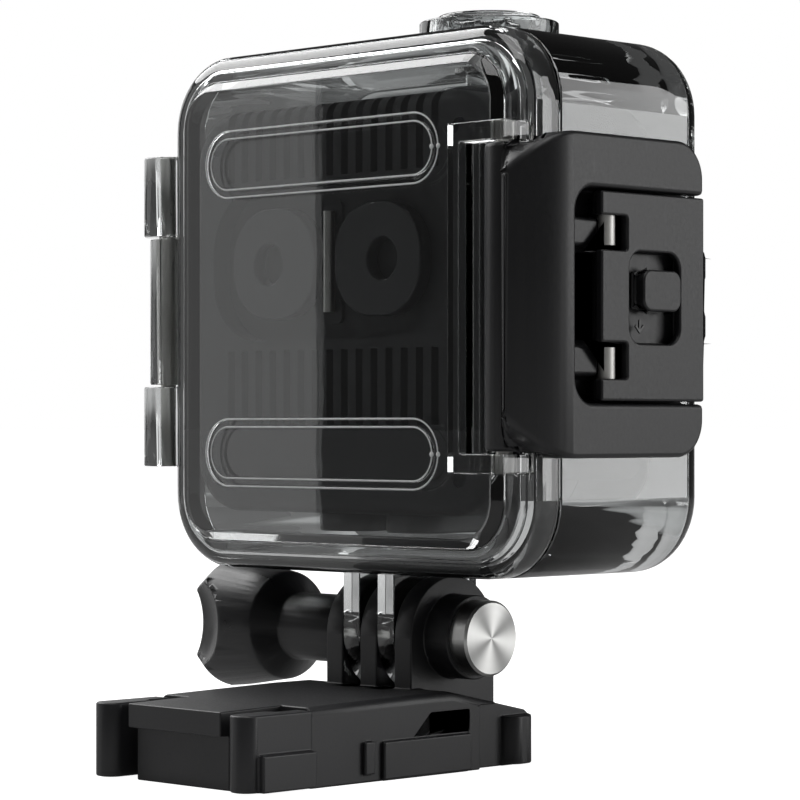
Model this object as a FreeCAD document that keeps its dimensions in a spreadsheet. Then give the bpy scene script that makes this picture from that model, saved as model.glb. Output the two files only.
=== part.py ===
"""Action camera in its clear dive housing, on a quick-release buckle.

Frame: millimetres, +Z up. The origin is on the buckle's flat underside, straight below the tilt axis. The
lens looks along -Y, the rear door faces +Y, the door hinge is on the +X side and the latch on the -X side.

The driving sizes are cells of the spreadsheet. A Size carries its number and its spreadsheet formula
together, so a place that is worked out here from several cells is bound to them in the document as well.
"""
import FreeCAD, Part
import math
import os
import Sketcher

V = FreeCAD.Vector
doc = FreeCAD.newDocument("action_camera")
sheet = doc.addObject("Spreadsheet::Sheet", "Sheet")
parts = {}


class Size:
    """A length with the spreadsheet formula that it comes from."""

    def __init__(self, number, text):
        self.number = number
        self.text = text

    def __add__(self, other):
        other = sized(other)
        return Size(self.number + other.number, f"({self.text} + {other.text})")

    def __sub__(self, other):
        other = sized(other)
        return Size(self.number - other.number, f"({self.text} - {other.text})")

    def __mul__(self, factor):
        return Size(self.number * factor, f"({self.text} * {factor})")

    def __truediv__(self, factor):
        return Size(self.number / factor, f"({self.text} / {factor})")

    def __neg__(self):
        return Size(-self.number, f"(0 - {self.text})")

    def __radd__(self, other):
        return sized(other) + self

    def __rsub__(self, other):
        return sized(other) - self


def sized(value):
    """The value as a Size: a plain number is its own formula."""
    return value if isinstance(value, Size) else Size(float(value), f"{float(value):.6g}")


def cell(alias, number):
    """Writes one driving dimension in the spreadsheet and returns it."""
    row = cell.rows + 1
    sheet.set(f"A{row}", alias)
    sheet.set(f"B{row}", f"{number:g}")
    sheet.setAlias(f"B{row}", alias)
    cell.rows = row
    return Size(float(number), f"Sheet.{alias}")


cell.rows = 0


class Cells:
    """A table of driving dimensions, one spreadsheet cell each."""

    def __init__(self, **numbers):
        for alias, number in numbers.items():
            setattr(self, alias, cell(alias, number))

# ---------------------------------------------------------------- sketches, pads, pockets

PLANES = {"XY": "XY_Plane", "XZ": "XZ_Plane", "YZ": "YZ_Plane"}


def fix_point(sketch, element, point, x, y):
    """Ties one point of the sketch to its coordinates."""
    for kind, value in (("DistanceX", sized(x)), ("DistanceY", sized(y))):
        index = sketch.addConstraint(Sketcher.Constraint(kind, -1, 1, element, point, value.number))
        sketch.setExpression(f"Constraints[{index}]", value.text)


def circle(x, y, radius):
    """An outline: a full circle."""
    radius = sized(radius)

    def draw(sketch):
        centre = V(sized(x).number, sized(y).number, 0)
        ring = sketch.addGeometry(Part.Circle(centre, V(0, 0, 1), radius.number))
        fix_point(sketch, ring, 3, x, y)
        index = sketch.addConstraint(Sketcher.Constraint("Radius", ring, radius.number))
        sketch.setExpression(f"Constraints[{index}]", radius.text)

    return draw


def rounded(x0, x1, y0, y1, radius):
    """An outline: a rectangle with round corners."""
    x0, x1, y0, y1, radius = (sized(v) for v in (x0, x1, y0, y1, radius))

    def draw(sketch):
        a, b, c, d, r = (v.number for v in (x0, x1, y0, y1, radius))
        lines = [((a + r, c), (b - r, c)), ((b, c + r), (b, d - r)),
                 ((b - r, d), (a + r, d)), ((a, d - r), (a, c + r))]
        sides = [sketch.addGeometry(Part.LineSegment(V(*p, 0), V(*q, 0))) for p, q in lines]
        centres = [(b - r, c + r, -90), (b - r, d - r, 0), (a + r, d - r, 90), (a + r, c + r, 180)]
        corners = []
        for x, y, start in centres:
            ring = Part.Circle(V(x, y, 0), V(0, 0, 1), r)
            arc = Part.ArcOfCircle(ring, math.radians(start), math.radians(start + 90))
            corners.append(sketch.addGeometry(arc))
        for k in range(4):
            sketch.addConstraint(Sketcher.Constraint("Tangent", sides[k], 2, corners[k], 1))
            sketch.addConstraint(Sketcher.Constraint("Tangent", corners[k], 2, sides[(k + 1) % 4], 1))
            sketch.addConstraint(Sketcher.Constraint("Horizontal" if k % 2 == 0 else "Vertical", sides[k]))
        for k in (1, 2, 3):
            sketch.addConstraint(Sketcher.Constraint("Equal", corners[0], corners[k]))
        fix_point(sketch, corners[1], 3, x1 - radius, y1 - radius)
        fix_point(sketch, corners[3], 3, x0 + radius, y0 + radius)
        index = sketch.addConstraint(Sketcher.Constraint("Radius", corners[0], r))
        sketch.setExpression(f"Constraints[{index}]", radius.text)

    return draw


def polygon(*points):
    """An outline: straight sides through the points."""

    def draw(sketch):
        ends = [V(sized(x).number, sized(y).number, 0) for x, y in points]
        count = len(ends)
        sides = [sketch.addGeometry(Part.LineSegment(ends[k], ends[(k + 1) % count])) for k in range(count)]
        for k in range(count):
            sketch.addConstraint(Sketcher.Constraint("Coincident", sides[k], 2, sides[(k + 1) % count], 1))
            fix_point(sketch, sides[k], 1, *points[k])

    return draw


def arch(half, centre, foot):
    """An outline: a flat-footed arch, round at the end away from its foot."""
    half, centre, foot = sized(half), sized(centre), sized(foot)
    turn = 1 if foot.number < centre.number else -1

    def draw(sketch):
        a, c, f = half.number, centre.number, foot.number
        corners = [V(a * turn, c, 0), V(-a * turn, c, 0), V(-a * turn, f, 0), V(a * turn, f, 0)]
        ring = Part.Circle(V(0, c, 0), V(0, 0, 1), a)
        start = 0 if turn > 0 else math.pi
        bow = sketch.addGeometry(Part.ArcOfCircle(ring, start, start + math.pi))
        sides = [sketch.addGeometry(Part.LineSegment(corners[k], corners[(k + 1) % 4])) for k in (1, 2, 3)]
        sketch.addConstraint(Sketcher.Constraint("Tangent", bow, 2, sides[0], 1))
        sketch.addConstraint(Sketcher.Constraint("Coincident", sides[0], 2, sides[1], 1))
        sketch.addConstraint(Sketcher.Constraint("Coincident", sides[1], 2, sides[2], 1))
        sketch.addConstraint(Sketcher.Constraint("Tangent", sides[2], 2, bow, 1))
        fix_point(sketch, bow, 3, 0, centre)
        fix_point(sketch, sides[1], 1, half * -turn, foot)
        fix_point(sketch, sides[1], 2, half * turn, foot)
        index = sketch.addConstraint(Sketcher.Constraint("Radius", bow, a))
        sketch.setExpression(f"Constraints[{index}]", half.text)

    return draw


def box(x0, x1, y0, y1):
    """An outline: a plain rectangle."""
    return polygon((x0, y0), (x1, y0), (x1, y1), (x0, y1))


def new_body(label):
    """An empty body whose label will name its file."""
    body = doc.addObject("PartDesign::Body", label)
    body.Label = label
    parts[label] = body
    return body


def sketch_at(body, plane, height, outlines):
    """A sketch on one of the body's own origin planes, moved along that plane's normal."""
    sketch = body.newObject("Sketcher::SketchObject", body.Name + "_sketch")
    support = [f for f in body.Origin.OriginFeatures if f.Role == PLANES[plane]][0]
    sketch.AttachmentSupport = (support, [""])
    sketch.MapMode = "FlatFace"
    sketch.setExpression("AttachmentOffset.Base.z", height.text)
    for draw in outlines:
        draw(sketch)
    sketch.Visibility = False
    return sketch


def pad(body, plane, low, high, *outlines):
    """Adds material between two places along the plane's own axis: Z for XY, Y for XZ, X for YZ."""
    low, high = sized(low), sized(high)
    feature = body.newObject("PartDesign::Pad", body.Name + "_pad")
    feature.Profile = sketch_at(body, plane, -high if plane == "XZ" else low, outlines)
    feature.setExpression("Length", (high - low).text)
    doc.recompute()
    return feature


def pocket(body, plane, low, high, *outlines):
    """Takes material away between two places along the plane's own axis, and stops if nothing was cut."""
    low, high = sized(low), sized(high)
    before = body.Shape.Volume
    feature = body.newObject("PartDesign::Pocket", body.Name + "_pocket")
    feature.Profile = sketch_at(body, plane, -low if plane == "XZ" else high, outlines)
    feature.setExpression("Length", (high - low).text)
    doc.recompute()
    if not body.Shape.Volume < before - 1e-3:
        raise RuntimeError(f"a pocket of {body.Label} cuts nothing")
    return feature


def spin(body, cut, *points):
    """Revolves a profile of (radius, height) points about the body's own Z axis, adding or cutting."""
    before = body.Shape.Volume if cut else 0
    kind = "Groove" if cut else "Revolution"
    feature = body.newObject("PartDesign::" + kind, body.Name + "_" + kind.lower())
    profile = sketch_at(body, "XZ", sized(0), [polygon(*points)])
    feature.Profile = profile
    feature.ReferenceAxis = (profile, ["V_Axis"])
    feature.Angle = 360
    doc.recompute()
    if cut and not body.Shape.Volume < before - 1e-3:
        raise RuntimeError(f"a groove of {body.Label} cuts nothing")
    return feature


def soften(body, radius, test, kind="Fillet"):
    """Rounds or chamfers the edges of the body that pass the test."""
    base = body.Tip
    names = [f"Edge{k + 1}" for k, edge in enumerate(base.Shape.Edges) if test(edge)]
    if not names:
        raise RuntimeError(f"{body.Label} has no edge to soften")
    feature = body.newObject("PartDesign::" + kind, body.Name + "_" + kind.lower())
    feature.Base = (base, names)
    feature.setExpression("Radius" if kind == "Fillet" else "Size", sized(radius).text)
    doc.recompute()
    return feature


def lies_at(edge, axis, place):
    """Does the whole edge lie at one place along the axis?"""
    low = edge.BoundBox.getPoint(0)[axis]
    high = edge.BoundBox.getPoint(6)[axis]
    return abs(low - place.number) < 1e-3 and abs(high - place.number) < 1e-3


TURNS = {"Z": FreeCAD.Rotation(), "X": FreeCAD.Rotation(V(0, 1, 0), 90),
         "-Y": FreeCAD.Rotation(V(1, 0, 0), 90), "Y": FreeCAD.Rotation(V(1, 0, 0), -90)}


def place(item, x, y, z, way="Z"):
    """Stands the item's own Z axis along a direction, with its origin at the place given."""
    item.Placement = FreeCAD.Placement(V(sized(x).number, sized(y).number, sized(z).number), TURNS[way])
    for letter, value in zip("xyz", (x, y, z)):
        item.setExpression(f"Placement.Base.{letter}", sized(value).text)
    return item


def rod(label, radius, length, x, y, z, way="Z"):
    """A plain cylinder such as a pin."""
    item = doc.addObject("Part::Cylinder", label)
    item.Label = label
    item.setExpression("Radius", sized(radius).text)
    item.setExpression("Height", sized(length).text)
    parts[label] = place(item, x, y, z, way)
    return item


def tube(label, outer, inner, length, x, y, z, way="Z"):
    """A plain ring or sleeve."""
    body = new_body(label)
    pad(body, "XY", 0, length, circle(0, 0, outer), circle(0, 0, inner))
    return place(body, x, y, z, way)


def block(label, x0, x1, y0, y1, z0, z1, radius=None):
    """A plain block, with round upright corners if a radius is given."""
    body = new_body(label)
    pad(body, "XY", z0, z1, box(x0, x1, y0, y1) if radius is None else rounded(x0, x1, y0, y1, radius))
    return body


def cut_from(label, base, tools):
    """A body with several tools cut from it, as one node."""
    parts.pop(base.Label)
    bundle = doc.addObject("Part::Compound", label + "_tools")
    bundle.Links = tools
    cut = doc.addObject("Part::Cut", label)
    cut.Label = label
    cut.Base = base
    cut.Tool = bundle
    parts[label] = cut
    return cut


def group(label, items):
    """Several like pieces as one node of separate solids."""
    for item in items:
        parts.pop(item.Label)
    bundle = doc.addObject("Part::Compound", label)
    bundle.Label = label
    bundle.Links = items
    parts[label] = bundle
    return bundle

# ---------------------------------------------------------------- driving dimensions

D = Cells(
    # quick-release buckle and its three prongs
    axis_height=16.2, finger_radius=7.5, finger_thick=2.95, finger_pitch=6.1, bore=2.6, plate_top=9.3,
    crown=9.9, slot_floor=8.3, side_wall=13.4, buckle_half=14, buckle_front=-9, wall_rear=30,
    tail_rear=39.6, tail_half=8.3, arm_rear=40.8, arm_pivot_x=10.3, arm_pivot_y=8, boss_end=-11.5,
    # clamp screw
    bolt=2.4, washer=0.8, neck=4.4, neck_end=20, knob=8.6, knob_end=35.5, dip=9, bolt_end=-13.3,
    cap_end=-14.2, nut=4,
    # clear housing
    left=-33, right=31, low=24.2, high=90.2, corner=9.5, wall=2.4, front=-19, split=8.05,
    door_front=8.4, door_rear=15.2, door_floor=12.5, panel_step=1.3, panel_inset=3.6, hinge_x=33,
    hinge_y=12, pin=1, knuckle=3.2, knuckle_gap=0.3, lower_knuckle=37.2, middle_low=47.9,
    middle_high=67, upper_knuckle=77.4,
    # lens port
    lens_x=8, lens_z=66, port_half=17.5, port_front=-26.6, ring_front=-30, lens_bore=9,
    # shutter on the top
    shutter_x=-10, shutter_y=-4, boss=8.75, boss_top=93, stem=2, cap=6.5, stem_foot=84.95,
    # latch
    latch_x=-30.5, latch_side=-38, latch_inner=-33.4, latch_front=-12.2, latch_low=38.7,
    latch_high=76.7, recess_low=45.1, recess_high=70.3, recess_rear=10.9, recess_floor=-34.5,
    lever_x=-36.4, lever_y=4.07, lever_pin=1.1, lever_inner=-35.6, lug_low=36.9, lug_high=78,
    lug_thick=2.3, lug_rear=17.5, barrel=2.3,
    # camera
    cam_left=-26, cam_right=26.4, cam_low=31.6, cam_high=82.8, cam_front=-16, cam_rear=12, cam_wall=1.8,
    cam_split=-2, recess_left=-19.5, recess_right=22.4, pad_low=53.3, pad_high=72.6, run=0.05, gap=0.3)


def inset(low, high, by):
    """Two places drawn in towards each other."""
    return low + by, high - by


def casing(by, radius):
    """The housing's rounded outline, drawn in by a distance."""
    return rounded(*inset(D.left, D.right, by), *inset(D.low, D.high, by), radius)


def camera_outline(by, radius):
    """The camera's rounded outline, drawn in by a distance."""
    return rounded(*inset(D.cam_left, D.cam_right, by), *inset(D.cam_low, D.cam_high, by), radius)


# ---------------------------------------------------------------- quick-release buckle


def buckle_base():
    """Moulded plug: domed plate, side rails, three prongs and the nut boss."""
    base = new_body("buckle_base")
    profile = polygon((D.buckle_front, 0), (D.tail_rear, 0), (D.tail_rear, D.plate_top), (12, D.crown),
                      (6, D.crown), (D.buckle_front, 6.6))
    pad(base, "YZ", -D.side_wall, D.side_wall, profile)
    soften(base, 2, lambda e: lies_at(e, 1, D.buckle_front) and e.BoundBox.ZMax - e.BoundBox.ZMin > 5)
    soften(base, 1.1, lambda e: e.BoundBox.ZMin > 6 and abs(e.BoundBox.XMax - e.BoundBox.XMin) < 5)
    pocket(base, "XY", 0, 10, box(-D.side_wall, -D.tail_half, D.wall_rear, D.tail_rear),
           box(D.tail_half, D.side_wall, D.wall_rear, D.tail_rear))
    pocket(base, "XY", 0, 6.4, box(-D.tail_half, D.tail_half, D.tail_rear - 1.4, D.tail_rear))
    pocket(base, "XY", 0, 8, box(-D.side_wall, -12.2, D.buckle_front, 1.2),
           box(12.2, D.side_wall, D.buckle_front, 1.2))
    for side in (-1, 1):
        out = sorted((D.side_wall * side, D.buckle_half * side), key=lambda size: size.number)
        pad(base, "XY", 0.2, 4.7, rounded(*out, 3.3, 18.4, 0.25))
        pad(base, "XY", 1, 4.9, rounded(*out, 19.9, 21.6, 0.25))
        wing = sorted((9 * side, D.buckle_half * side), key=lambda size: sized(size).number)
        pad(base, "XY", 0.2, 6.2, rounded(*wing, D.buckle_front + 0.2, -3.6, 2.2))
        pocket(base, "XY", 0, 4.6, box(*sorted((8.2 * side, 11.4 * side)), D.arm_pivot_y, D.wall_rear))
        pocket(base, "XY", 0, 4.6, box(*sorted((8.2 * side, 12.3 * side)), 5.9, D.arm_pivot_y + 2.2))
        pad(base, "XY", 0, 4.6, circle(D.arm_pivot_x * side, D.arm_pivot_y, 0.8))
        pocket(base, "YZ", *sorted((side * 12.6, side * 13.4)), box(3.2, 10, 5.2, 7.5))
    for middle in (-D.finger_pitch, sized(0), D.finger_pitch):
        pad(base, "YZ", middle - D.finger_thick / 2, middle + D.finger_thick / 2,
            arch(D.finger_radius, D.axis_height, 4.8))
    for middle in (-D.finger_pitch / 2, D.finger_pitch / 2):
        pocket(base, "YZ", middle - 1.52, middle + 1.52,
               box(-D.finger_radius - 2, D.finger_radius + 2, D.slot_floor, 12))
    outer = -D.finger_pitch - D.finger_thick / 2
    pad(base, "YZ", D.boss_end, outer, circle(0, D.axis_height, 5.25))
    pocket(base, "YZ", -8, 8, circle(0, D.axis_height, D.bore))
    pocket(base, "YZ", D.boss_end, D.boss_end + D.nut, polygon(*hexagon(4.05)))


def hexagon(flat):
    """The six corners of a nut about the clamp axis, from its half width over flats."""
    reach = flat / math.cos(math.pi / 6)
    turns = [k * math.pi / 3 for k in range(6)]
    return [(reach * math.cos(turn), D.axis_height + reach * math.sin(turn)) for turn in turns]


def snap_arm(label, side):
    """Sprung side arm of the buckle: thumb column, outer catch and the beam that it bends on."""
    arm = new_body(label)
    pad(arm, "XY", 0.3, D.plate_top - 0.1, rounded(*sorted((10.2 * side, 14 * side)), 33.6, D.arm_rear, 1.8))
    pad(arm, "XY", 0.3, D.plate_top - 0.1, box(*sorted((11.4 * side, 14 * side)), D.wall_rear + D.gap, 37))
    pad(arm, "XY", 0.3, 4.6, box(*sorted((13 * side, 14.9 * side)), D.wall_rear + D.gap, 38.8))
    pad(arm, "XY", 0.6, 4, box(*sorted((9.6 * side, 11.0 * side)), D.arm_pivot_y + 1, 35))
    pad(arm, "XY", 0.6, 4, box(*sorted((9.6 * side, 12.0 * side)), D.wall_rear + D.gap, 34))
    pad(arm, "XY", 0.6, 4, circle(D.arm_pivot_x * side, D.arm_pivot_y, 1.6))
    pocket(arm, "XY", 0.6, 4, circle(D.arm_pivot_x * side, D.arm_pivot_y, D.run + 0.8))


def clamp_screw():
    """Bolt with its moulded knob, the washer under it, and the nut with its turned cap."""
    rod("clamp_bolt", D.bolt, 34 - D.bolt_end, D.bolt_end, 0, D.axis_height, "X")
    prong_face = D.finger_pitch + D.finger_thick / 2
    tube("thrust_washer", 4.6, D.bolt + D.run, D.washer, prong_face + D.run, 0, D.axis_height, "X")
    knob = new_body("knob_blank")
    start = prong_face + D.washer + 0.1
    length = D.knob_end - start
    waist = D.neck_end - start
    spin(knob, False, (0, 0), (D.neck, 0), (D.neck, waist), (7.1, waist + 2.6), (D.knob, length - 3.3),
         (6.6, length), (0, length))
    pocket(knob, "XY", 0, 34 - start, circle(0, 0, D.bolt))
    place(knob, start, 0, D.axis_height, "X")
    dips = []
    for k in range(3):
        angle = math.radians(120 * k)
        dip = doc.addObject("Part::Sphere", f"finger_dip_{k + 1}")
        dip.setExpression("Radius", D.dip.text)
        dips.append(place(dip, D.knob_end, 12.9 * math.cos(angle), D.axis_height + 12.9 * math.sin(angle)))
    cut_from("thumb_knob", knob, dips)
    nut = new_body("axle_nut")
    pad(nut, "YZ", D.boss_end + 0.05, D.boss_end + D.nut, polygon(*hexagon(4)),
        circle(0, D.axis_height, D.bolt + D.run))
    cap = new_body("nut_cap")
    pad(cap, "YZ", D.cap_end, D.boss_end, circle(0, D.axis_height, 4.7))
    pocket(cap, "YZ", D.bolt_end - 0.3, D.boss_end, circle(0, D.axis_height, D.bolt + D.run))
    soften(cap, 0.3, lambda e: lies_at(e, 0, D.cap_end), "Chamfer")


# ---------------------------------------------------------------- clear housing


def housing_shell():
    """Clear front half of the housing, with its mount fingers, hinge knuckle, button boss and lens port."""
    shell = new_body("housing_shell")
    pad(shell, "XZ", D.front, D.split, casing(0, D.corner))
    soften(shell, 4, lambda e: lies_at(e, 1, D.front))
    pad(shell, "XZ", D.port_front, D.front + 1, port_outline(0))
    pocket(shell, "XZ", D.front + D.wall, D.split, casing(D.wall, D.corner - D.wall))
    pocket(shell, "XZ", D.port_front, D.front + D.wall, port_outline(D.wall))
    for middle in (-D.finger_pitch / 2, D.finger_pitch / 2):
        pad(shell, "YZ", middle - D.finger_thick / 2, middle + D.finger_thick / 2,
            arch(D.finger_radius, D.axis_height, D.low + 1), circle(0, D.axis_height, D.bore))
    pad(shell, "XY", D.high - 1, D.boss_top, circle(D.shutter_x, D.shutter_y, D.boss))
    pocket(shell, "XY", D.boss_top - 3.1, D.boss_top, circle(D.shutter_x, D.shutter_y, D.cap + 0.35))
    pocket(shell, "XY", D.high - D.wall, D.boss_top, circle(D.shutter_x, D.shutter_y, D.stem + D.run))
    pocket(shell, "XY", D.high - 1.6, D.high - 0.6, circle(D.shutter_x, D.shutter_y, 3))
    pad(shell, "XY", D.middle_low, D.middle_high, box(D.right - 0.6, D.hinge_x + 0.6, -2, D.split - 0.2))
    pad(shell, "XY", D.middle_low, D.middle_high, box(D.right + 0.35, D.hinge_x + 0.6, 6, D.hinge_y))
    pad(shell, "XY", D.middle_low, D.middle_high, circle(D.hinge_x, D.hinge_y, D.knuckle - 0.8))
    pocket(shell, "XY", D.middle_low, D.middle_high, circle(D.hinge_x, D.hinge_y, D.pin))
    pad(shell, "XY", 53, 61, polygon((D.left + 0.4, -4), (D.left + 0.4, -8.4), (D.left, -8.4),
                                     (D.left - 1.6, -5.2), (D.left - 1.6, -4)))


def port_outline(by):
    """The rounded square outline of the lens port, drawn in by a distance."""
    half = D.port_half - by
    return rounded(D.lens_x - half, D.lens_x + half, D.lens_z - half, D.lens_z + half, 6 - sized(by))


def lens_port():
    """Flat port window on its gasket, held by a screwed ring."""
    gasket = new_body("lens_port_gasket")
    pad(gasket, "XZ", D.port_front - 0.9, D.port_front, port_outline(0.2), port_outline(2.4))
    glass = new_body("lens_port_glass")
    pad(glass, "XZ", D.port_front - 2.5, D.port_front - 0.9, port_outline(1.6))
    ring = new_body("lens_port_ring")
    pad(ring, "XZ", D.ring_front, D.port_front - 0.9, port_outline(0))
    pocket(ring, "XZ", D.port_front - 2.5, D.port_front - 0.9, port_outline(1.5))
    pocket(ring, "XZ", D.ring_front, D.port_front - 2, port_outline(4.5))
    screws = []
    for k, (x, z) in enumerate(corner_places(D.lens_x, D.lens_z, D.port_half - 2.6)):
        pocket(ring, "XZ", D.ring_front, D.ring_front + 0.7, circle(x, z, 1.35))
        screws.append(rod(f"port_screw_{k + 1}", 1.3, 0.6, x, D.ring_front + 0.7, z, "-Y"))
    group("port_screws", screws)


def corner_places(x, z, reach):
    """The four corners about a centre."""
    return [(x + reach * i, z + reach * k) for i in (-1, 1) for k in (-1, 1)]


def shutter():
    """Sprung plunger through the housing's roof, with its seal and its retaining ring."""
    plunger = new_body("shutter_plunger")
    pad(plunger, "XY", D.boss_top - 0.5, D.boss_top + 0.9, circle(D.shutter_x, D.shutter_y, D.cap))
    pad(plunger, "XY", D.stem_foot, D.boss_top, circle(D.shutter_x, D.shutter_y, D.stem))
    soften(plunger, 0.5, lambda e: lies_at(e, 2, D.boss_top + 0.9))
    seal = doc.addObject("Part::Torus", "shutter_oring")
    seal.Label = "shutter_oring"
    seal.Radius1 = 2.5
    seal.Radius2 = 0.48
    parts["shutter_oring"] = place(seal, D.shutter_x, D.shutter_y, D.high - 1.1)
    clip = new_body("shutter_clip")
    pad(clip, "XY", D.high - 3.6, D.high - 3, circle(D.shutter_x, D.shutter_y, 3.4),
        circle(D.shutter_x, D.shutter_y, D.stem))
    spring = new_body("shutter_spring")
    wire = sketch_at(spring, "XZ", sized(0), [circle(4, 0, 0.18)])
    sweep = spring.newObject("PartDesign::AdditiveHelix", "spring_coil")
    sweep.Profile = wire
    sweep.ReferenceAxis = (wire, ["V_Axis"])
    sweep.Mode = "pitch-height-angle"
    sweep.Pitch = 0.8
    sweep.Height = 2
    place(spring, D.shutter_x, D.shutter_y, D.boss_top - 2.85)


def rear_door():
    """Clear rear half of the housing, with the hinge knuckles and the lugs for the latch."""
    door = new_body("rear_door")
    rim = D.door_rear - D.panel_step
    pad(door, "XZ", D.door_front, rim, casing(0, D.corner))
    soften(door, 3.2, lambda e: lies_at(e, 1, rim))
    pad(door, "XZ", D.door_floor + 0.5, D.door_rear, casing(D.panel_inset, D.corner - D.panel_inset))
    soften(door, D.panel_step - 0.1, lambda e: lies_at(e, 1, D.door_rear), "Chamfer")
    pocket(door, "XZ", D.door_front, D.door_floor, casing(D.wall, D.corner - D.wall))
    pocket(door, "XZ", D.door_front, 11.5, casing(1.2, D.corner - 1.2))
    for low, high in ((63.84, 55.35), (27.15, 18.63)):
        outer = rounded(-19.7, 21.9, D.axis_height + high, D.axis_height + low, 4.2)
        inner = rounded(-18.7, 20.9, D.axis_height + high + 1, D.axis_height + low - 1, 3.2)
        pocket(door, "XZ", D.door_rear - 0.3, D.door_rear, outer, inner)
    for low in (D.lower_knuckle, D.middle_high + D.knuckle_gap):
        high = low + (D.middle_low - D.lower_knuckle - D.knuckle_gap)
        pad(door, "XY", low, high, circle(D.hinge_x, D.hinge_y, D.knuckle))
        pocket(door, "XY", low, high, circle(D.hinge_x, D.hinge_y, D.pin + D.run))
    pocket(door, "XY", D.middle_low - D.knuckle_gap, D.middle_high + D.knuckle_gap,
           circle(D.hinge_x, D.hinge_y, D.knuckle - 0.5))
    pad(door, "XY", D.lug_low, D.lug_high, box(D.left + 0.6, -23.4, D.door_floor + 0.4, D.lug_rear))
    pocket(door, "XY", D.lug_low + D.lug_thick, D.lug_high - D.lug_thick, box(-35, -25.4, D.door_rear, 18))
    pocket(door, "XY", D.lug_low + D.lug_thick, D.lug_high - D.lug_thick, box(-35, -27.7, D.door_floor, 18))
    pocket(door, "XY", D.lug_low, D.lug_high, circle(D.latch_x, D.door_rear, D.pin))
    gasket = new_body("door_gasket")
    pad(gasket, "XZ", D.split + D.run, 11.45, casing(1.25, D.corner - 1.25),
        casing(D.wall, D.corner - D.wall))
    rod("door_hinge_pin", D.pin, D.upper_knuckle - D.lower_knuckle, D.hinge_x, D.hinge_y, D.lower_knuckle)
    rod("latch_hinge_pin", D.pin, D.lug_high - D.lug_low, D.latch_x, D.door_rear, D.lug_low)


# ---------------------------------------------------------------- latch


def latch_frame():
    """Moulded latch that wraps the corner of the housing and swings on the long pin in the door's lugs."""
    frame = new_body("latch_frame")
    plan = polygon((D.latch_side, D.latch_front), (D.latch_inner, D.latch_front), (D.latch_inner, 12.7),
                   (D.latch_x - 1.7, 13.7), (D.latch_x - 1.7, 16.6), (-33.4, 19), (-34, 19.5),
                   (D.latch_side, 19.5))
    pad(frame, "XY", D.latch_low, D.latch_high, plan)
    hull = box(-60, 60, -60, 160)
    pocket(frame, "XY", D.latch_low, D.latch_high, hull, rounded(D.latch_side, 50, -50, 19.5, 8))
    pocket(frame, "YZ", -40, -28, hull, rounded(D.latch_front, 60 - 1, D.latch_low, D.latch_high, 4.5))
    pocket(frame, "YZ", -40, -28, hull, rounded(-59, 19.6, D.latch_low, D.latch_high, 9))
    reach = (D.lug_low + D.lug_thick + D.gap, D.lug_high - D.lug_thick - D.gap)
    pocket(frame, "XY", D.latch_low, reach[0], circle(D.latch_x, D.door_rear, 4.4))
    pocket(frame, "XY", reach[1], D.latch_high, circle(D.latch_x, D.door_rear, 4.4))
    pad(frame, "XY", *reach, circle(D.latch_x, D.door_rear, D.barrel))
    pocket(frame, "XY", *reach, circle(D.latch_x, D.door_rear, D.pin + D.run))
    pocket(frame, "YZ", D.latch_side, D.recess_floor,
           rounded(D.latch_front - 8, D.recess_rear, D.recess_low, D.recess_high, 3))
    pocket(frame, "YZ", D.recess_floor, D.latch_inner, box(-14, -3.5, 52.4, 61.8))
    for low, high in ((48.3, 52), (63.4, 66.9)):
        pad(frame, "YZ", D.lever_x, D.recess_floor, box(2.3, D.recess_rear, low, high))
        pocket(frame, "XY", low, high, circle(D.lever_x, D.lever_y, D.lever_pin + D.run))


def latch_lever():
    """Release lever in the latch's recess: plate, pin barrels, hook and the slot for the lock slider."""
    lever = new_body("latch_lever")
    low = D.recess_low + D.gap
    high = D.recess_high - D.gap
    plan = polygon((D.latch_side, D.latch_front), (D.lever_inner, D.latch_front), (D.lever_inner, D.lever_y),
                   (-36.4, 6.2), (-37.2, 6.5), (D.latch_side, 6.5))
    pad(lever, "XY", low, high, plan)
    pad(lever, "XY", low, high, circle(D.lever_x, D.lever_y, 1.6))
    for bottom, top in ((48, 52.3), (63.1, 67.2)):
        pocket(lever, "XY", bottom, top, box(-39, -34, 1.9, 8))
    pocket(lever, "XY", low, high, circle(D.lever_x, D.lever_y, D.lever_pin))
    pocket(lever, "YZ", D.latch_side, -37, rounded(-7.7, 1.5, 52.2, 63.1, 2))
    pocket(lever, "YZ", -37, -36.2, box(-8.5, 1.5, 52.2, 63.1))
    pad(lever, "XY", 53.2, 60.8, polygon((D.lever_inner, -12), (-33.5, -12), (-33.5, -8.07), (-35, -5.07),
                                         (D.lever_inner, -5.07)))
    for bottom, top in ((59.9, 63.4), (52.8, 56.3)):
        pad(lever, "YZ", D.latch_side + 0.2, -36.2,
            rounded(D.latch_front - 0.7, D.latch_front + 0.9, bottom, top, 0.7))


def lever_pins():
    """The two short steel pins that carry the lever."""
    low = rod("lever_pin_lower", D.lever_pin, 6.3, D.lever_x, D.lever_y, D.recess_low + D.gap)
    high = rod("lever_pin_upper", D.lever_pin, 6.3, D.lever_x, D.lever_y, D.recess_high - D.gap - 6.3)
    group("latch_lever_pins", [low, high])


def lock_slider():
    """Thumb lock that runs up and down in the lever's slot."""
    slider = new_body("lock_slider")
    pad(slider, "YZ", D.latch_side - 0.3, -36.9, rounded(-7.6, -0.7, 56.1, 61, 1.4))
    pad(slider, "YZ", -36.9, -36.3, box(-8.4, -0.2, 56.3, 60.8))


# ---------------------------------------------------------------- camera


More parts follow.
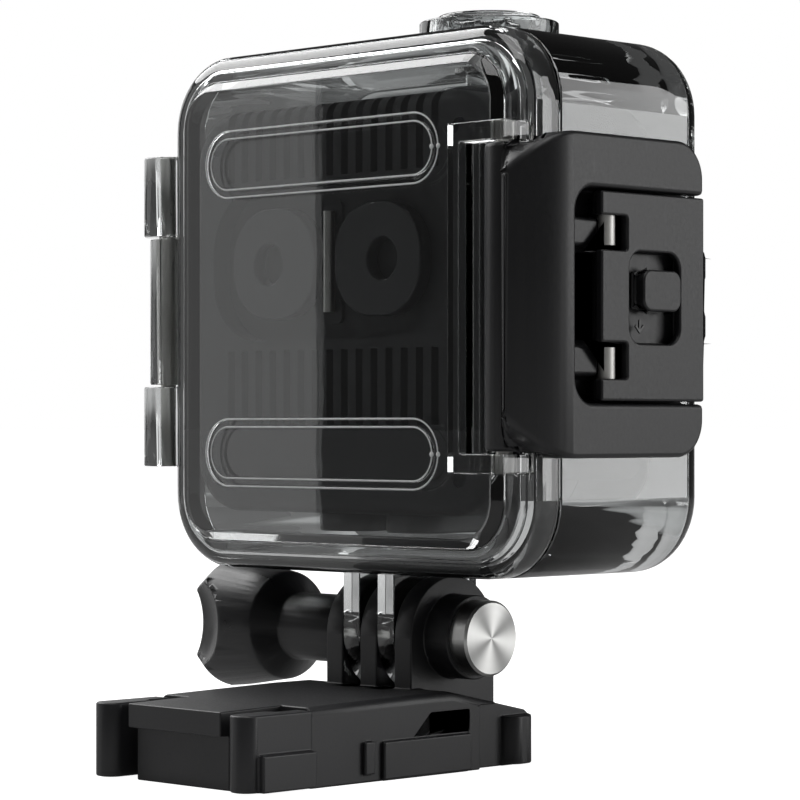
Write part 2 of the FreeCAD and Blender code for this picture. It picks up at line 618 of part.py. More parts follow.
def camera_shells():
    """The camera's front case with its lens opening, and its rear case with fins and the finger recess."""
    front = new_body("camera_front_shell")
    pad(front, "XZ", D.cam_front, D.cam_split, camera_outline(0, 7))
    soften(front, 2, lambda e: lies_at(e, 1, D.cam_front))
    pocket(front, "XZ", D.cam_front + D.cam_wall, D.cam_split, camera_outline(D.cam_wall, 5.2))
    pocket(front, "XZ", D.cam_front, D.cam_front + D.cam_wall, lens_square(12.8, 4))
    pocket(front, "XY", D.cam_high - D.cam_wall, D.cam_high, circle(D.shutter_x, D.shutter_y, 5.6))
    pocket(front, "XY", D.cam_high - D.cam_wall, D.cam_high, rounded(3, 17, -10, -3, 1))
    rear = new_body("camera_rear_shell")
    pad(rear, "XZ", D.cam_split + D.run, D.cam_rear, camera_outline(0, 7))
    soften(rear, 2, lambda e: lies_at(e, 1, D.cam_rear))
    pocket(rear, "XZ", D.cam_split + D.run, 8, camera_outline(D.cam_wall, 5.2))
    pocket(rear, "XY", D.cam_high - D.cam_wall, D.cam_high, circle(D.shutter_x, D.shutter_y, 5.6))
    pocket(rear, "XZ", 9.2, D.cam_rear, rounded(D.recess_left, D.recess_right, D.pad_low, D.pad_high, 8))
    fins = 15
    pitch = 2.6
    for low, high in ((73.6, D.cam_high), (42.6, 52)):
        slots = [box(-18 + pitch * k, -18 + pitch * k + 1.2, low, high) for k in range(fins)]
        pocket(rear, "XZ", 10.4, D.cam_rear, *slots)
    for z in (D.pad_low + 3.5, D.pad_high - 3.5):
        pad(rear, "XZ", 9, 9.7, rounded(1, 4, z - 1.5, z + 1.5, 0.8))
    pocket(rear, "XZ", D.cam_rear - 4.1, D.cam_rear, *[circle(x, z, 1.1) for x, z in screw_places()])


def screw_places():
    """The four corners where the camera's case is screwed together."""
    across = (D.cam_left + 4.6, D.cam_right - 4.6)
    return [(x, z) for x in across for z in (D.cam_low + 4.6, D.cam_high - 4.6)]


def lens_square(half, radius):
    """A rounded square about the lens."""
    return rounded(D.lens_x - half, D.lens_x + half, D.lens_z - half, D.lens_z + half, radius)


def camera_lens():
    """Square bezel with its cover glass, the lens barrel with two elements, and the sensor on its board."""
    bezel = new_body("lens_bezel")
    pad(bezel, "XZ", -24.4, D.cam_front + 1, lens_square(12.6, 4), circle(D.lens_x, D.lens_z, D.lens_bore))
    pocket(bezel, "XZ", -24.4, -23, lens_square(11, 3))
    cover = new_body("lens_cover_glass")
    pad(cover, "XZ", -24.6, -23.1, lens_square(10.9, 2.9))
    barrel = new_body("lens_barrel")
    pad(barrel, "XZ", -22.4, -4, circle(D.lens_x, D.lens_z, 8.6), circle(D.lens_x, D.lens_z, 6.4))
    front = new_body("front_lens_element")
    spin(front, False, (0, 0), (6.3, 0), (6.3, 1.2), (4.6, 2.4), (2.4, 3.1), (0, 3.3))
    place(front, D.lens_x, -19, D.lens_z, "-Y")
    back = new_body("rear_lens_element")
    spin(back, False, (0, 0), (6.3, 0), (6.3, 1.8), (3.4, 1.2), (0, 1))
    place(back, D.lens_x, -9, D.lens_z, "-Y")
    sensor = new_body("image_sensor")
    pad(sensor, "XZ", -3.9, -3.1, lens_square(4.4, 0.4))
    board = new_body("sensor_board")
    pad(board, "XZ", -3, -2, lens_square(9, 1))


def camera_inside():
    """Main board, heat spreader, cell, ports and sounders."""
    board = new_body("main_board")
    pad(board, "XZ", 4, 5.2, camera_outline(3, 4))
    spreader = new_body("heat_spreader")
    pad(spreader, "XZ", 5.5, 7.9, camera_outline(4, 3.5))
    cell_body = new_body("battery_cell")
    pad(cell_body, "XZ", -12, 3.4, rounded(-23, -7, 34.5, 76, 2))
    port = new_body("usb_port")
    pad(port, "YZ", 16, 23.6, rounded(-1.6, 1.6, 36, 45, 1.5))
    card = new_body("memory_card")
    pad(card, "XZ", -0.8, 0.2, rounded(-5.5, 9.5, 36, 47, 0.7))
    speaker = new_body("speaker")
    pad(speaker, "XZ", -13.8, -9, rounded(-4, 11, 38, 48, 2))
    microphone = new_body("microphone")
    pad(microphone, "XZ", -13.9, -12.6, circle(-1, 50.5, 1.6))


def camera_outside():
    """The camera's button, display, side door, folding mounting fingers and screws."""
    button = new_body("camera_button")
    pad(button, "XY", D.cam_high - 1.6, D.stem_foot - 0.35, circle(D.shutter_x, D.shutter_y, 5.4))
    soften(button, 0.5, lambda e: lies_at(e, 2, D.stem_foot - 0.35))
    block("status_display", 3.1, 16.9, -9.9, -3.1, D.cam_high - 1.2, D.cam_high - 0.1, 0.9)
    side = new_body("side_door")
    pad(side, "YZ", D.cam_left - 0.9, D.cam_left - 0.05, rounded(-12, 6, 36, 70, 2.5))
    for name, turn in (("left", 1), ("right", -1)):
        finger = new_body("rear_finger_" + name)
        ends = sorted((2.5 + 0.2 * turn + 1.6 * turn, 2.5 + 16.8 * turn))
        pad(finger, "XZ", 9.4, 11.4, rounded(*ends, 56, 70, 6.4))
        pocket(finger, "XZ", 9.4, 11.4, circle(2.5 + 10.2 * turn, 63, 2.6))
    rod("rear_finger_pin", 0.75, 12.6, 2.5, 10.5, 56.7)
    for name, x in (("left", 6), ("right", -6)):
        block("bottom_finger_" + name, x - 4.4, x + 4.4, -8, 6.5, D.cam_low - 2.4, D.cam_low - 0.05, 3.4)
    screws = []
    for k, (x, z) in enumerate(screw_places()):
        screws.append(rod(f"camera_screw_{k + 1}", 1.05, 3.8, x, D.cam_rear - 4, z, "Y"))
    group("camera_screws", screws)


# ---------------------------------------------------------------- build, check and write the pieces

buckle_base()
snap_arm("buckle_snap_arm_left", 1)
snap_arm("buckle_snap_arm_right", -1)
clamp_screw()
housing_shell()
lens_port()
shutter()
rear_door()
latch_frame()
latch_lever()
lever_pins()
lock_slider()
camera_shells()
camera_lens()
camera_inside()
camera_outside()

doc.recompute()
for item in doc.Objects:
    if "Invalid" in item.State or "Error" in item.State:
        raise RuntimeError(f"{item.Label} did not build: {item.State}")

os.makedirs("parts", exist_ok=True)
for name, item in parts.items():
    if item.Shape.isNull() or not item.Shape.isValid() or item.Shape.Volume <= 0:
        raise RuntimeError(f"{name} has no valid solid")
    item.Shape.exportStep(f"parts/{name}.step")
    size = item.Shape.BoundBox
    print(f"{name:24s} {len(item.Shape.Solids)} solid(s) {item.Shape.Volume:10.1f} mm3"
          f"  X {size.XMin:6.1f} {size.XMax:6.1f}  Y {size.YMin:6.1f} {size.YMax:6.1f}"
          f"  Z {size.ZMin:6.1f} {size.ZMax:6.1f}")
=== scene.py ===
"""Action camera in its clear dive housing on a quick-release buckle: how each piece looks."""

import math

import bmesh
import bpy
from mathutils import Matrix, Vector


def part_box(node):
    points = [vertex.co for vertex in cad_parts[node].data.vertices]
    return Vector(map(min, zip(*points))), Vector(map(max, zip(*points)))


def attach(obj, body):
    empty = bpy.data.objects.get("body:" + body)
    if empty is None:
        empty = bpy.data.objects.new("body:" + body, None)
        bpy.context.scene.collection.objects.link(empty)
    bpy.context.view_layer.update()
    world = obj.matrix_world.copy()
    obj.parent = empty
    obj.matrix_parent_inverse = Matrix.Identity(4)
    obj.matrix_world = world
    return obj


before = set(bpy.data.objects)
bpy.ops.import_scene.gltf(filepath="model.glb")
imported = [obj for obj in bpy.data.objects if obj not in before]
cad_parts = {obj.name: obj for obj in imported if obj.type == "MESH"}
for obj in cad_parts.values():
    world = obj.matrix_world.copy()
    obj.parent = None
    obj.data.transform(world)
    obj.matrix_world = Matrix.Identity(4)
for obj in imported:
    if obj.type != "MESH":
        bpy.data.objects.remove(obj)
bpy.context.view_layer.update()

# ---------------------------------------------------------------- buckle
# The plug that slides into a base: one piece of black glass-filled nylon, injection-moulded in a
# spark-eroded mould, with three upright prongs. Its two side arms are moulded with it and snap behind the
# base's ledges.

MM = 0.001


def srgb(code):
    """An sRGB hex colour as the linear colour that a shader takes."""
    steps = [int(code[k:k + 2], 16) / 255 for k in (1, 3, 5)]
    return (*[s / 12.92 if s <= 0.04045 else ((s + 0.055) / 1.055) ** 2.4 for s in steps], 1.0)


def blank_material(name):
    """An empty material, and the place on the piece in metres that its patterns are drawn from."""
    material = bpy.data.materials.new(name)
    material.use_nodes = True
    material.node_tree.nodes.clear()
    return material, add(material, "TexCoord").outputs["Object"]


def add(material, kind, settings=None, links=None):
    """Adds one node to a material, with its settings and what feeds its sockets."""
    node = material.node_tree.nodes.new("ShaderNode" + kind)
    for key, value in (settings or {}).items():
        if isinstance(key, int) or key in node.inputs:
            node.inputs[key].default_value = value
        else:
            setattr(node, key, value)
    for key, source in (links or {}).items():
        material.node_tree.links.new(source, node.inputs[key])
    return node


def dress(material, *names):
    """Gives CAD pieces their material."""
    for name in names:
        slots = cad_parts[name].data.materials
        slots.clear()
        slots.append(material)


def break_edges(width_mm, *names):
    """Rounds the sharp edges of CAD pieces, as a mould or a deburring tool leaves them."""
    for name in names:
        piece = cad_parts[name]
        weld = piece.modifiers.new("weld", "WELD")
        weld.merge_threshold = 0.002 * MM
        flat = piece.modifiers.new("flat_faces", "DECIMATE")
        flat.decimate_type = "DISSOLVE"
        flat.angle_limit = math.radians(0.3)
        edge = piece.modifiers.new("rounded_edges", "BEVEL")
        edge.width = width_mm * MM
        edge.segments = 3
        edge.limit_method = "ANGLE"
        edge.angle_limit = math.radians(28)
        edge.use_clamp_overlap = False
        edge.harden_normals = True
        edge.miter_outer = "MITER_ARC"


def moulded_black(name, colour, worn, grain_mm, rough, relief_mm):
    """Black moulded plastic: erosion grain, slow tone from the melt's flow, and hair scratches."""
    material, place = blank_material(name)
    grain = add(material, "TexNoise", {"Scale": 1000 / grain_mm, "Detail": 3.0, "Roughness": 0.6},
                {"Vector": place})
    flow = add(material, "TexNoise", {"Scale": 1000 / 14, "Detail": 2.0}, {"Vector": place})
    stretched = add(material, "Mapping", {"Scale": (90, 1400, 240), "Rotation": (0.3, 0.5, 0.7)},
                    {"Vector": place})
    hairs = add(material, "TexNoise", {"Scale": 1.0, "Detail": 2.0},
                {"Vector": stretched.outputs["Vector"]})
    scratch = add(material, "MapRange", {"From Min": 0.70, "From Max": 0.78},
                  {"Value": hairs.outputs["Fac"]})
    cloud = add(material, "MapRange", {"From Min": 0.35, "From Max": 0.75}, {"Value": flow.outputs["Fac"]})
    tone = add(material, "Mix", {"data_type": "RGBA", "A": srgb(colour), "B": srgb(worn)},
               {"Factor": cloud.outputs["Result"]})
    gloss = add(material, "MapRange",
                {"From Min": 0.3, "From Max": 0.7, "To Min": rough - 0.04, "To Max": rough + 0.05},
                {"Value": grain.outputs["Fac"]})
    rubbed = add(material, "Math", {"operation": "MULTIPLY_ADD", 1: -0.08}, {0: scratch.outputs["Result"],
                                                                         2: gloss.outputs["Result"]})
    relief = add(material, "Bump", {"Strength": 0.5, "Distance": relief_mm * MM},
                 {"Height": grain.outputs["Fac"]})
    shader = add(material, "BsdfPrincipled", {"IOR": 1.5},
                 {"Base Color": tone.outputs["Result"], "Roughness": rubbed.outputs["Value"],
                  "Normal": relief.outputs["Normal"]})
    add(material, "OutputMaterial", links={"Surface": shader.outputs["BSDF"]})
    return material


# Glass-filled nylon from an eroded mould: a dull, near-black skin whose grain, about 0.3 mm, softens every
# highlight.
nylon = moulded_black("glass_filled_nylon_eroded", "#1d1d1f", "#262628", 0.3, 0.42, 0.015)
dress(nylon, "buckle_base", "buckle_snap_arm_left", "buckle_snap_arm_right")
break_edges(0.2, "buckle_base")
break_edges(0.25, "buckle_snap_arm_left", "buckle_snap_arm_right")

# ---------------------------------------------------------------- clamp screw
# An M5 stainless bolt with a nylon knob moulded on its head, a thin washer, a brass nut pressed into the
# buckle's boss and a turned cap over it. The knob has three thumb dips round its rim.

knob_nylon = moulded_black("glass_filled_nylon_knob", "#1a1a1c", "#222224", 0.3, 0.34, 0.012)
dress(knob_nylon, "thumb_knob")
break_edges(0.25, "thumb_knob")


def faced_steel(name, dark, light, ring_mm, rough):
    """Steel faced on a lathe: fine rings about the screw's axis in its roughness and relief, and painted
    highlight and shade in fans round the axis.
    """
    material, place = blank_material(name)
    from_axis = add(material, "VectorMath", {"operation": "SUBTRACT", 1: (0, 0, 16.2 * MM)}, {0: place})
    radius = add(material, "VectorMath", {"operation": "LENGTH"}, {0: from_axis.outputs["Vector"]})
    rings = add(material, "TexNoise", {"noise_dimensions": "1D", "Scale": 1000 / ring_mm, "Detail": 4.0},
                {"W": radius.outputs["Value"]})
    across = add(material, "SeparateXYZ", links={"Vector": from_axis.outputs["Vector"]})
    angle = add(material, "Math", {"operation": "ARCTAN2"},
                {0: across.outputs["Z"], 1: across.outputs["Y"]})
    turns = add(material, "Math", {"operation": "MULTIPLY_ADD", 1: 4.0, 2: 0.7},
                {0: angle.outputs["Value"]})
    # Painted highlight and shade: the steel's colour swings from the dark grey to the light grey in four fans
    # round the screw's axis, set by angle alone.
    painted_fan_wave = add(material, "Math", {"operation": "SINE"}, {0: turns.outputs["Value"]})
    painted_light_fan = add(material, "MapRange", {"From Min": -1.0, "From Max": 1.0}, {"Value": painted_fan_wave.outputs["Value"]})
    tone = add(material, "Mix", {"data_type": "RGBA", "A": srgb(dark), "B": srgb(light)},
               {"Factor": painted_light_fan.outputs["Result"]})
    gloss = add(material, "MapRange", {"To Min": rough - 0.06, "To Max": rough + 0.1},
                {"Value": rings.outputs["Fac"]})
    relief = add(material, "Bump", {"Strength": 0.25, "Distance": 0.01 * MM},
                 {"Height": rings.outputs["Fac"]})
    shader = add(material, "BsdfPrincipled", {"Metallic": 1.0},
                 {"Base Color": tone.outputs["Result"], "Roughness": gloss.outputs["Result"],
                  "Normal": relief.outputs["Normal"]})
    add(material, "OutputMaterial", links={"Surface": shader.outputs["BSDF"]})
    return material


# Stainless steel, faced: pale grey, with rings about 0.12 mm apart in its roughness and relief, and soft fans
# of painted highlight and painted shade round the axis.
cap_steel = faced_steel("stainless_steel_faced_painted_fans", "#8d8d8c", "#dcdcda", 0.12, 0.34)
dress(cap_steel, "nut_cap", "thrust_washer")


def drawn_metal(name, colour, dull, streak_mm, rough):
    """Drawn or ground metal: fine streaks along the bar and a thin uneven film."""
    material, place = blank_material(name)
    along = add(material, "Mapping", {"Scale": (1.0, 1.0, 0.08)}, {"Vector": place})
    streaks = add(material, "TexNoise", {"Scale": 1000 / streak_mm, "Detail": 4.0},
                  {"Vector": along.outputs["Vector"]})
    film = add(material, "TexNoise", {"Scale": 1000 / 5, "Detail": 2.0}, {"Vector": place})
    tone = add(material, "Mix", {"data_type": "RGBA", "A": srgb(colour), "B": srgb(dull)},
               {"Factor": film.outputs["Fac"]})
    gloss = add(material, "MapRange", {"To Min": rough - 0.08, "To Max": rough + 0.1},
                {"Value": streaks.outputs["Fac"]})
    relief = add(material, "Bump", {"Strength": 0.2, "Distance": 0.01 * MM},
                 {"Height": streaks.outputs["Fac"]})
    shader = add(material, "BsdfPrincipled", {"Metallic": 1.0},
                 {"Base Color": tone.outputs["Result"], "Roughness": gloss.outputs["Result"],
                  "Normal": relief.outputs["Normal"]})
    add(material, "OutputMaterial", links={"Surface": shader.outputs["BSDF"]})
    return material


# Stainless bar, cold drawn: bright, with streaks along the bar. Brass, machined: warm yellow under a dull
# film.
bar_steel = drawn_metal("stainless_steel_drawn", "#cfcecb", "#b9b8b4", 0.3, 0.3)
brass = drawn_metal("brass_machined", "#b9975b", "#9c7d48", 0.4, 0.32)
dress(bar_steel, "clamp_bolt")
dress(brass, "axle_nut")

# ---------------------------------------------------------------- clear housing
# The front half of the housing, with its lens port, hinge knuckle, catch and two prongs: injection-moulded
# in clear polycarbonate, 2.4 mm thick, from a mould polished to a mirror.


def clear_moulding(name, tint, ior, wave_mm, wave_depth_mm):
    """Clear stock, polished both sides: see-through, with the slight waves left by cooling."""
    material, place = blank_material(name)
    waves = add(material, "TexNoise", {"Scale": 1000 / wave_mm, "Detail": 1.0}, {"Vector": place})
    film = add(material, "TexNoise", {"Scale": 1000 / 6, "Detail": 3.0}, {"Vector": place})
    gloss = add(material, "MapRange", {"From Min": 0.45, "From Max": 0.8, "To Min": 0.0, "To Max": 0.03},
                {"Value": film.outputs["Fac"]})
    relief = add(material, "Bump", {"Strength": 0.1, "Distance": wave_depth_mm * MM},
                 {"Height": waves.outputs["Fac"]})
    shader = add(material, "BsdfPrincipled",
                 {"Base Color": srgb(tint), "IOR": ior, "Transmission Weight": 1.0},
                 {"Roughness": gloss.outputs["Result"], "Normal": relief.outputs["Normal"]})
    add(material, "OutputMaterial", links={"Surface": shader.outputs["BSDF"]})
    return material


# Polycarbonate, mirror-moulded: colourless, with strong bent reflections at every thick edge.
polycarbonate = clear_moulding("polycarbonate_clear_moulded", "#f3f5f5", 1.585, 9, 0.04)
dress(polycarbonate, "housing_shell")
break_edges(0.2, "housing_shell")

# ---------------------------------------------------------------- lens port
# A flat window of float glass on a silicone gasket, held by a moulded ring and four stainless screws.

# Float glass: flatter than the housing, with a faint green tint through its edge.
window_glass = clear_moulding("float_glass_polished", "#eef4f1", 1.52, 20, 0.01)
dress(window_glass, "lens_port_glass")

# Silicone rubber, compression-moulded: deep grey and dull, with a dusty bloom in patches.
silicone = moulded_black("silicone_rubber_moulded", "#19191a", "#232324", 0.4, 0.68, 0.01)
dress(silicone, "lens_port_gasket")

# Nylon ring, moulded: black, a little smoother than the buckle.
ring_nylon = moulded_black("nylon_ring_moulded", "#161617", "#1d1d1e", 0.4, 0.4, 0.01)
dress(ring_nylon, "lens_port_ring")
break_edges(0.3, "lens_port_ring")
dress(bar_steel, "port_screws", "door_hinge_pin")

# ---------------------------------------------------------------- shutter
# A clear push button on a spring, sealed with a small ring and kept in by a spring clip under the roof.

dress(polycarbonate, "shutter_plunger")
dress(silicone, "shutter_oring")
# Spring wire, hard drawn: darker and smoother than the bar steel, with the die's lines along it.
spring_wire = drawn_metal("spring_steel_hard_drawn", "#b4b3b0", "#98979a", 0.15, 0.25)
dress(spring_wire, "shutter_spring", "shutter_clip")

# ---------------------------------------------------------------- camera case
# Two moulded halves of polycarbonate with a soft-touch coat, a side door over the ports, and the folding
# fingers. Four screws from the back hold the halves together.

# Soft-touch lacquer on polycarbonate: charcoal and dull, with a very fine even grain and no sharp
# highlight.
soft_touch = moulded_black("polycarbonate_soft_touch", "#262628", "#2d2d2f", 0.25, 0.58, 0.004)
dress(soft_touch, "camera_front_shell", "camera_rear_shell", "side_door")
# Folding fingers: the same charcoal in bare nylon, so slightly shinier.
finger_nylon = moulded_black("nylon_finger_moulded", "#29292b", "#313133", 0.3, 0.45, 0.008)
dress(finger_nylon, "rear_finger_left", "rear_finger_right", "bottom_finger_left", "bottom_finger_right")
break_edges(0.25, "rear_finger_left", "rear_finger_right", "bottom_finger_left", "bottom_finger_right")
dress(bar_steel, "rear_finger_pin")
# Screws: steel with a black-oxide finish, so only their worn rims glint.
dress(drawn_metal("steel_black_oxide", "#232326", "#303034", 0.3, 0.4), "camera_screws")
# Button: acetal, moulded, in a dark grey that reads a step lighter than the case.
button_acetal = moulded_black("acetal_button_moulded", "#343437", "#3c3c3f", 0.35, 0.38, 0.008)
dress(button_acetal, "camera_button")
break_edges(0.25, "camera_button")

# ---------------------------------------------------------------- camera lens
# A square gloss bezel with a cover glass, and behind it a black anodised barrel with two coated elements
# over the sensor's board.

# Acrylic bezel, moulded against a mirror: deep black with hard reflections and the odd rubbed spot.
gloss_acrylic = moulded_black("acrylic_bezel_polished", "#0b0b0c", "#101011", 0.6, 0.12, 0.002)
dress(gloss_acrylic, "lens_bezel")
break_edges(0.3, "lens_bezel")
# Optical glass, coated: nearly colourless, with the blue cast of its anti-reflection coat.
coated_glass = clear_moulding("optical_glass_coated", "#dde4f3", 1.62, 30, 0.004)
dress(coated_glass, "lens_cover_glass", "front_lens_element", "rear_lens_element")
# Barrel: aluminium, turned and anodised black, so grey-black with fine turning streaks.
anodised = drawn_metal("aluminium_anodised_black", "#1d1d20", "#26262a", 0.2, 0.35)
dress(anodised, "lens_barrel")


def silicon_die(name, colour, line, pitch_mm):
    """A sensor under its glass: a dark mirror ruled with a fine grid, which glints violet and green."""
    material, place = blank_material(name)
    grid = add(material, "TexBrick", {"Scale": 1000 / pitch_mm, "Mortar Size": 0.06, "offset": 0.0,
                                      "Brick Width": 0.5, "Row Height": 0.5, "Color1": srgb(colour),
                                      "Color2": srgb("#2a2140"), "Mortar": srgb(line)}, {"Vector": place})
    ripple = add(material, "TexNoise", {"Scale": 1000 / 3}, {"Vector": place})
    gloss = add(material, "MapRange", {"To Min": 0.08, "To Max": 0.22}, {"Value": ripple.outputs["Fac"]})
    shader = add(material, "BsdfPrincipled", {"Metallic": 0.3, "Coat Weight": 1.0},
                 {"Base Color": grid.outputs["Color"], "Roughness": gloss.outputs["Result"]})
    add(material, "OutputMaterial", links={"Surface": shader.outputs["BSDF"]})
    return material


# Silicon die under glass: violet-black, ruled every 0.5 mm, coarser than the real cells so that it shows.
dress(silicon_die("silicon_die_under_glass", "#14202a", "#3b3b44", 0.5), "image_sensor")

# ---------------------------------------------------------------- camera electronics
# Two glass-epoxy boards, an aluminium spreader between the main board and the case, a wrapped lithium cell,
# the ports, the memory card, and the sound parts behind their grilles.


def solder_mask(name, mask, copper, track_mm):
    """A circuit board: green lacquer over raised copper tracks, with tinned pads between them."""
    material, place = blank_material(name)
    tracks = add(material, "TexBrick", {"Scale": 1000 / track_mm, "Mortar Size": 0.08, "Mortar Smooth": 0.3,
                                        "Brick Width": 2.2, "Row Height": 0.4, "Color1": srgb(mask),
                                        "Color2": srgb("#0f4429"), "Mortar": srgb(copper)}, {"Vector": place})
    pads = add(material, "TexVoronoi", {"Scale": 1000 / 3.5, "Randomness": 0.8}, {"Vector": place})
    pad = add(material, "MapRange", {"From Min": 0.16, "From Max": 0.13},
              {"Value": pads.outputs["Distance"]})
    tone = add(material, "Mix", {"data_type": "RGBA", "B": srgb("#c9c4b4")},
               {"Factor": pad.outputs["Result"], "A": tracks.outputs["Color"]})
    relief = add(material, "Bump", {"Strength": 0.4, "Distance": 0.035 * MM},
                 {"Height": tracks.outputs["Fac"]})
    gloss = add(material, "MapRange", {"To Min": 0.34, "To Max": 0.22}, {"Value": pad.outputs["Result"]})
    shader = add(material, "BsdfPrincipled", {"IOR": 1.55},
                 {"Base Color": tone.outputs["Result"], "Roughness": gloss.outputs["Result"],
                  "Normal": relief.outputs["Normal"]})
    add(material, "OutputMaterial", links={"Surface": shader.outputs["BSDF"]})
    return material


# Glass-epoxy board under green solder mask: glossy green with lighter tracks about 1 mm apart and tinned
# dots.
dress(solder_mask("glass_epoxy_solder_masked", "#0b3a22", "#1c6a3e", 2.0), "main_board", "sensor_board")

# Aluminium plate, rolled: silver-grey with long streaks from the rolls.
dress(drawn_metal("aluminium_plate_rolled", "#b4b6b9", "#a3a5a8", 0.4, 0.38), "heat_spreader")
# Cell in heat-shrunk film: mid grey, smooth, with soft wrinkles where the film drew in.
dress(moulded_black("pvc_film_heat_shrunk", "#3f4247", "#4c4f55", 2.5, 0.3, 0.05), "battery_cell")
# Port shell and microphone can: nickel-plated steel, brighter than bare steel.
dress(drawn_metal("steel_nickel_plated", "#d6d3cc", "#c3beb4", 0.5, 0.2), "usb_port", "microphone")
# Memory card: moulded epoxy, flat black with a slight sparkle of filler.
dress(moulded_black("epoxy_card_moulded", "#17171a", "#202024", 0.2, 0.4, 0.006), "memory_card")


def woven_grille(name, wire, gap, pitch_mm):
    """A speaker's cloth: fine black wires crossing over darker gaps."""
    material, place = blank_material(name)
    weave = add(material, "TexVoronoi", {"Scale": 1000 / pitch_mm, "Randomness": 0.0}, {"Vector": place})
    hole = add(material, "MapRange", {"From Min": 0.2, "From Max": 0.45},
               {"Value": weave.outputs["Distance"]})
    tone = add(material, "Mix", {"data_type": "RGBA", "A": srgb(gap), "B": srgb(wire)},
               {"Factor": hole.outputs["Result"]})
    relief = add(material, "Bump", {"Strength": 0.8, "Distance": 0.08 * MM},
                 {"Height": hole.outputs["Result"]})
    shader = add(material, "BsdfPrincipled", {"Roughness": 0.6},
                 {"Base Color": tone.outputs["Result"], "Normal": relief.outputs["Normal"]})
    add(material, "OutputMaterial", links={"Surface": shader.outputs["BSDF"]})
    return material


# Speaker cloth: polyester, woven at 0.4 mm so that the threads can be seen.
dress(woven_grille("polyester_cloth_woven", "#2c2c2e", "#060606", 0.4), "speaker")


def display_glass(name, dark, lit, cell_mm):
    """A small reflective display: black glass over grey-green cells in a grid."""
    material, place = blank_material(name)
    cells = add(material, "TexBrick",
                {"Scale": 1000 / cell_mm, "Mortar Size": 0.05, "offset": 0.0, "Brick Width": 0.5,
                 "Row Height": 0.5, "Color1": srgb(dark), "Color2": srgb(lit),
                 "Mortar": srgb("#050505")}, {"Vector": place})
    shader = add(material, "BsdfPrincipled", {"Roughness": 0.12, "Coat Weight": 1.0},
                 {"Base Color": cells.outputs["Color"]})
    add(material, "OutputMaterial", links={"Surface": shader.outputs["BSDF"]})
    return material


# Display under glass: near black with a grey-green cast, ruled every 0.8 mm.
dress(display_glass("display_cells_under_glass", "#0c0f0d", "#141a16", 0.8), "status_display")

# ---------------------------------------------------------------- rear door
# The back half of the housing: clear polycarbonate again, with a raised panel, two ring grooves, hinge
# knuckles and the lugs for the latch. A silicone gasket lies in its rim, and a steel pin runs through the
# lugs.

dress(polycarbonate, "rear_door")
break_edges(0.2, "rear_door")
dress(silicone, "door_gasket")
dress(bar_steel, "latch_hinge_pin")

panel_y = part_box("rear_door")[1][1] - 2.3 * MM


def groove_lip(mesh, west, east, low, high, width):
    """A fine rounded lip that runs round a stadium-shaped groove in the door's panel."""
    half = (high - low) / 2
    path = []
    for k in range(33):
        turn = math.pi * k / 32
        path.append((east - half + half * math.sin(turn), low + half - half * math.cos(turn),
                     turn - math.pi / 2))
    for k in range(33):
        turn = math.pi * k / 32
        path.append((west + half - half * math.sin(turn), low + half + half * math.cos(turn),
                     turn + math.pi / 2))
    rings = []
    for x, z, way in path:
        ring = []
        for step in range(7):
            lean = math.pi * step / 6
            out = width * math.cos(lean)
            ring.append(mesh.verts.new((x + out * math.cos(way), panel_y + 0.7 * width * math.sin(lean),
                                        z + out * math.sin(way))))
        rings.append(ring)
    for here, there in zip(rings, rings[1:] + rings[:1]):
        for step in range(6):
            mesh.faces.new((here[step], here[step + 1], there[step + 1], there[step])).smooth = True


lips = bmesh.new()
for low_mm, high_mm in ((71.55, 80.04), (34.83, 43.35)):
    groove_lip(lips, -19.7 * MM, 21.9 * MM, low_mm * MM, high_mm * MM, 0.11 * MM)
    groove_lip(lips, -18.7 * MM, 20.9 * MM, (low_mm + 1) * MM, (high_mm - 1) * MM, 0.11 * MM)
bmesh.ops.recalc_face_normals(lips, faces=lips.faces)
lip_mesh = bpy.data.meshes.new("groove_lips")
lips.to_mesh(lip_mesh)
lips.free()
groove_lips = bpy.data.objects.new("groove_lips", lip_mesh)
bpy.context.collection.objects.link(groove_lips)


def matt_clear(name, colour, rough):
    """Rough clear plastic in a pale milky colour mixed towards white; on the groove lips this pale colour is
    painted highlight.
    """
    material, place = blank_material(name)
    ripple = add(material, "TexNoise", {"Scale": 1000 / 0.8}, {"Vector": place})
    gloss = add(material, "MapRange", {"To Min": rough - 0.1, "To Max": rough + 0.1},
                {"Value": ripple.outputs["Fac"]})
    tone = add(material, "Mix", {"data_type": "RGBA", "A": srgb(colour), "B": srgb("#ffffff")},
               {"Factor": ripple.outputs["Fac"]})
    shader = add(material, "BsdfPrincipled", {"IOR": 1.585, "Transmission Weight": 0.35},
                 {"Base Color": tone.outputs["Result"], "Roughness": gloss.outputs["Result"]})
    add(material, "OutputMaterial", links={"Surface": shader.outputs["BSDF"]})
    return material


# Polycarbonate lip on the groove's edges: a thin pale line, lighter than the clear face beside it, its pale
# colour painted highlight.
lip_mesh.materials.append(matt_clear("polycarbonate_painted_highlight_line", "#d8dcdc", 0.4))
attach(groove_lips, "door")

gates = bmesh.new()
for height_mm in (75.8, 39.1):
    for side_mm in (-0.55, 0.55):
        dot = bmesh.ops.create_uvsphere(gates, u_segments=16, v_segments=8, radius=0.34 * MM)
        for corner in dot["verts"]:
            corner.co.y *= 0.4
            corner.co += Vector((-19.2 * MM + side_mm * MM, panel_y, height_mm * MM))
gate_mesh = bpy.data.meshes.new("gate_marks")
gates.to_mesh(gate_mesh)
gates.free()
for face in gate_mesh.polygons:
    face.use_smooth = True
gate_marks = bpy.data.objects.new("gate_marks", gate_mesh)
bpy.context.collection.objects.link(gate_marks)
# The snapped gate is rougher than the panel, so its two dots are whiter.
gate_mesh.materials.append(matt_clear("polycarbonate_snapped_gate", "#e4e6e6", 0.55))
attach(gate_marks, "door")

# ---------------------------------------------------------------- latch
# The frame that wraps the housing's corner, the lever that lets it go and the thumb lock in the lever:
# three mouldings of black ABS with a satin face, on short steel pins.

